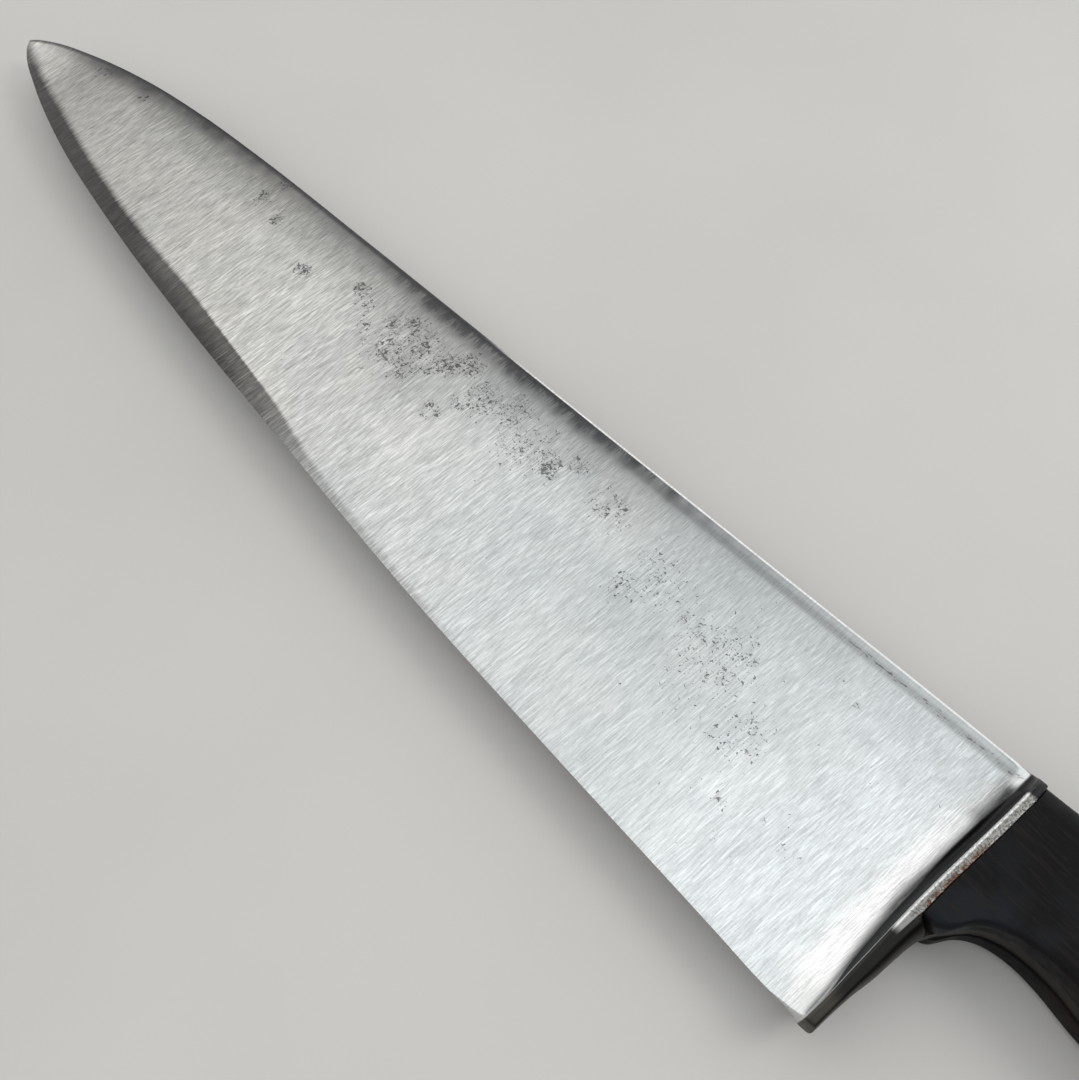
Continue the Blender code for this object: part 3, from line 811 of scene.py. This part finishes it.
def steel_colour(n, p):
    """The bare steel's tone, with its painted reflection, and each kind of wear, painted shade and painted
    highlight laid over it in turn, and the strokes over it all.
    """
    # painted reflection tint: cool at the heel, warmer towards the tip, with random variation
    reflection_warmth = n.plus(n.fade(p.ahead, 60, 230), n.vary(p.cloud, 0.25))
    tint = n.mix(reflection_warmth, (0.965, 1.0, 1.005), (1.01, 1.0, 0.965))
    colour = n.mix(1.0, tint, n.vector(p.tone, p.tone, p.tone), "MULTIPLY")
    guard_colour = n.mix(n.fade(p.v, 51, 55), (0.014, 0.0135, 0.013), (0.045, 0.042, 0.034))
    tang_colour = n.mix(p.grit, (0.02, 0.017, 0.014), (0.06, 0.05, 0.04))
    laid_over = (
        # the stain beside the spine, partly painted shade
        (n.times(p.stained, 0.95), (0.05, 0.05, 0.053)),
        # painted shade on the spine's edge
        (p.spine_line, (0.05, 0.05, 0.053)),
        (n.times(p.groove, 0.38), (0.1, 0.1, 0.1)),
        (p.facet, p.facet_colour),
        # painted shade on the shoulder
        (n.times(p.shoulder, 0.2), (0.25, 0.25, 0.25)),
        (n.times(p.border, 0.75), (0.06, 0.06, 0.06)),
        (n.times(p.haze, 0.35), (0.12, 0.12, 0.125)),
        (n.times(p.pits, 0.7), (0.045, 0.043, 0.04)),
        # painted highlight on the spine's outermost edge
        (n.times(p.outermost, n.fade(p.ahead, 1, 3)), (0.58, 0.57, 0.56)),
        # painted highlight on the fillet
        (n.times(p.burnished, 0.75), (0.86, 0.87, 0.88)),
        # tarnish and painted dark reflection in the hollow
        (n.times(p.hollow, 0.96), (0.02, 0.02, 0.022)),
        (p.strip, (0.25, 0.245, 0.235)),
        # painted highlight along the ridge
        (p.strip_front, (0.75, 0.75, 0.74)),
        (n.times(p.strip_pits, 0.22), (0.11, 0.105, 0.1)),
        (n.times(p.rust, 0.85), (0.11, 0.05, 0.022)),
        (n.times(p.guard, 0.97), guard_colour),
        # painted shade on the corner at the spine
        (n.times(p.corner, 0.96), (0.011, 0.0115, 0.013)),
        (n.times(p.back, 0.96), (0.017, 0.0145, 0.012)),
        (p.tang, tang_colour),
    )
    for share, layer in laid_over:
        colour = n.mix(share, colour, layer)
    uneven = n.plus(n.times(p.streaks, n.line(p.ahead, 60, 170, 0.27, 0.46)), n.vary(p.broad, 0.03),
                    n.vary(p.cloud, 0.05), n.vary(p.specks, 0.05))
    smoother = n.largest(p.shoulder, n.minus(1.0, p.face))
    return n.brightened(colour, n.plus(1.0, n.times(uneven, n.line(smoother, 0, 1, 1, 0.4))))


def steel():
    """Forged steel: a brushed face with painted reflection, a stained spine with painted shade, a dull
    sharpened band darkened partly by painted shade, and pits, a hollow with tarnish and painted dark
    reflection, painted highlights on the fillet and along the ridge, a scraped strip on top of the bolster,
    and a dark tang."""
    n = Nodes(bpy.data.materials.new("brushed_forged_steel"))
    p = steel_point(n)
    for add in (add_strokes, add_bolster_zones, add_spine_wear_and_shade, add_facet, add_pits):
        add(n, p)
    rough = n.plus(n.line(p.polished, 0, 1, 0.30, 0.16), n.vary(p.middle, 0.03), n.times(p.stained, 0.05),
                   n.times(n.largest(p.pits, p.strip_pits), 0.25),
                   n.times(n.largest(p.strip, n.largest(p.back, p.tang)), 0.14))
    relief = n.line(n.largest(p.polished, p.strip), 0, 1, 1, 0.15)
    height = n.plus(n.times(n.plus(n.times(p.fine, 1.1), n.times(p.middle, 0.5)), relief),
                    n.times(n.plus(p.pits, p.strip_pits), -5.0),
                    n.times(n.times(p.specks, relief), 0.55))
    return n.finish(Base_Color=steel_colour(n, p), Metallic=1.0, Roughness=rough, Normal=n.bump(height, 2e-5))


def dark_wood():
    """Nearly black stained hardwood, worn to a satin, with a painted blue-grey sheen towards the belly."""
    n = Nodes(bpy.data.materials.new("ebonised_hardwood"))
    place, x, y, z = n.object_mm()
    grain_at = n.vector(n.times(x, 0.12), n.plus(n.times(y, 1.5), n.times(x, 0.2)), n.times(z, 1.5))
    grain = n.noise(grain_at, 1, 4, 0.6, 0.4)
    pores = n.stretched(x, y, n.times(z, 5), 0.35, 5, 2, 0.6)
    patch = n.noise(place, 0.07, 3, 0.5)
    worn = n.noise(place, 0.35, 3, 0.6)
    browner = n.plus(n.fade(x, 96, 112), n.vary(patch, 0.5))
    # painted sheen: a blue reflection towards the belly, in patches
    bluish_sheen = n.times(n.fade(y, 18, 6), n.fade(patch, 0.4, 0.6))
    colour = n.mix(n.fade(browner, 0.1, 0.9), (0.0045, 0.0045, 0.005), (0.012, 0.007, 0.0065))
    colour = n.mix(bluish_sheen, colour, (0.009, 0.011, 0.014))
    colour = n.mix(n.times(n.fade(grain, 0.45, 0.75), 0.7), colour, (0.017, 0.012, 0.011))
    colour = n.mix(n.times(n.fade(pores, 0.55, 0.75), 0.6), colour, (0.003, 0.003, 0.003))
    rough = n.plus(n.line(worn, 0.3, 0.7, 0.3, 0.52), n.line(pores, 0.4, 0.8, -0.03, 0.08))
    normal = n.bump(n.plus(grain, n.times(n.fade(pores, 0.5, 0.8), -1.2)), 2.5e-5)
    return n.finish(Base_Color=colour, Roughness=rough, Normal=normal, Specular_IOR_Level=0.07)


def brass():
    """Brass rivet heads, turned and worn, dull towards the rim."""
    n = Nodes(bpy.data.materials.new("worn_brass"))
    place, x, y, z = n.object_mm()
    radius = n.math("SQRT", n.plus(n.times(x, x), n.times(y, y)))
    rings = n.noise(n.vector(n.times(radius, 7.0), 0, 0), 1, 3, 0.6)
    scuffs = n.stretched(x, y, z, 1.2, 6, 2, 0.6)
    spots = n.noise(place, 0.8, 3, 0.6)
    tarnish = n.plus(n.fade(radius, 2.9, 4.15, 0, 0.75), n.line(spots, 0.35, 0.7, -0.2, 0.45))
    colour = n.mix(n.fade(tarnish, 0, 0.9), (0.70, 0.50, 0.24), (0.22, 0.13, 0.055))
    colour = n.brightened(colour, n.plus(1.0, n.plus(n.vary(rings, 0.06), n.vary(scuffs, 0.08))))
    rough = n.plus(n.line(scuffs, 0.3, 0.7, 0.24, 0.38), n.times(n.fade(tarnish, 0, 0.9), 0.18))
    normal = n.bump(n.plus(rings, scuffs), 6e-6)
    return n.finish(Base_Color=colour, Metallic=1.0, Roughness=rough, Normal=normal)


def floor_paint():
    """Pale, matt and faintly uneven."""
    n = Nodes(bpy.data.materials.new("pale_floor"))
    uneven = n.noise(n.add("TexCoord").outputs["Object"], 9, 3)
    colour = n.mix(n.fade(uneven, 0.3, 0.7), (0.50, 0.487, 0.47), (0.53, 0.515, 0.50))
    return n.finish(Base_Color=colour, Roughness=0.85)


# ---------------------------------------------------------------- pieces

def dress(obj, finish, slot, *nodes):
    """Gives a piece its material and its place in the model."""
    obj.data.materials.clear()
    obj.data.materials.append(finish)
    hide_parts(*nodes)
    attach(obj, "root")


def build_forging():
    """The upper half of the blade and the bolster, mirrored about the mid-plane, and joined to the tang."""
    columns = [blade_column(ahead) for ahead in blade_stations()] + list(bolster_columns())
    columns.insert(0, on_mid_plane(columns[0]))
    walled = [np.vstack([on_mid_plane(c[:1]), c, on_mid_plane(c[-1:])]) for c in columns]
    forging = surface("forging", walled)
    centre = new_object("mid_plane", None)
    centre.location.z = HANDLE_HALF / 1000
    mirror = forging.modifiers.new("Halves", "MIRROR")
    mirror.use_axis = (False, False, True)
    mirror.mirror_object = centre
    mirror.merge_threshold = 10 * MERGE_DISTANCE
    applied(forging)
    bpy.data.objects.remove(centre)
    tang = bar("tang_bar", tang_outline(), TANG_HALF)
    combined(forging, [tang], "UNION")
    bpy.data.objects.remove(tang)
    return forging


def build_scale(name, side):
    return surface(name, [scale_section(station) * (1, 1, side) for station in scale_stations()], rings=True)


def build_knife():
    forging = build_forging()
    upper, lower = build_scale("upper_scale", 1), build_scale("lower_scale", -1)
    bores = [bore(at) for at in RIVET_CENTRES.values()]
    sawn_away = bar("scale_front_cut", bolster_side(), HANDLE_HALF + PAST_HANDLE)
    for cut, cutters in ((forging, bores), (upper, [sawn_away, *bores]), (lower, [sawn_away, *bores])):
        combined(cut, cutters, "DIFFERENCE")
        finished(cut)
    for cutter in [sawn_away, *bores]:
        bpy.data.objects.remove(cutter)
    dress(forging, steel(), "forged_steel", "forged_blade_bolster_tang")
    wood = dark_wood()
    dress(upper, wood, "handle_scales", "upper_handle_scale")
    dress(lower, wood, "handle_scales", "lower_handle_scale")
    metal = brass()
    for name, at in RIVET_CENTRES.items():
        for half in ("female", "male"):
            rivet = turned(f"{name}_rivet_{half}_worn", rivet_profile(half), at)
            if half == "male":
                rivet.rotation_euler.x = math.pi
            dress(finished(rivet), metal, "rivets", f"{name}_rivet_{half}")


# ---------------------------------------------------------------- stage

def make_camera():
    """Looks down at the knife from behind its edge, towards the spine and the tip."""
    heading, below = math.radians(CAMERA_HEADING), math.radians(CAMERA_BELOW_HORIZON)
    right = Vector((math.cos(heading), math.sin(heading), 0))
    away = Vector((-math.sin(heading), math.cos(heading), 0))
    forward = away * math.cos(below) + Vector((0, 0, -math.sin(below)))
    turn = Matrix((right, right.cross(forward), -forward)).transposed().to_4x4()
    data = bpy.data.cameras.new("camera")
    data.lens, data.sensor_width, data.sensor_fit = CAMERA_LENS, CAMERA_LENS, "HORIZONTAL"
    data.clip_start = 0.01
    camera = new_object("camera", data)
    camera.matrix_world = Matrix.Translation(CAMERA_PLACE) @ turn
    bpy.context.scene.camera = camera


def make_floor():
    form = bmesh.new()
    bmesh.ops.create_circle(form, cap_ends=True, segments=96, radius=FLOOR_RADIUS)
    floor = new_object("floor", mesh_from(form, "floor"))
    floor.location.z = -FLOOR_GAP
    floor.data.materials.append(floor_paint())


def make_key_light():
    """A soft box above the handle, beyond the spine, turned towards the knife."""
    data = bpy.data.lights.new("key_box", "AREA")
    data.shape, data.size, data.size_y = "RECTANGLE", KEY_SIZE, KEY_SIZE
    data.energy, data.color = KEY_POWER, (1.0, 0.99, 0.97)
    light = new_object("key_box", data)
    direction = Vector(KEY_DIRECTION).normalized()
    light.location = direction * KEY_DISTANCE
    light.rotation_euler = (-direction).to_track_quat("-Z", "Y").to_euler()


def make_sky():
    """Bright overhead and beyond the spine, and dark elsewhere, so that the steel shows its shape."""
    sky = bpy.data.worlds.new("studio")
    bpy.context.scene.world = sky
    n = Nodes(sky)
    x, y, z = n.add("SeparateXYZ", {0: n.add("TexCoord").outputs["Generated"]}).outputs
    reach = n.plus(z, n.plus(n.times(x, -0.46), n.times(y, -0.35)))
    level = n.plus(n.fade(reach, 0.33, 0.79, 0.04, 1.2), n.fade(y, 0.64, 0.76, 0, 1.5))
    tint = n.mix(n.fade(x, -0.75, 0.0), (1.0, 0.99, 0.97), (0.96, 0.99, 1.0))
    n.finish("Background", Color=tint, Strength=level)


make_camera()
make_floor()
make_sky()
make_key_light()
build_knife()
bpy.context.scene.view_settings.view_transform = "Standard"
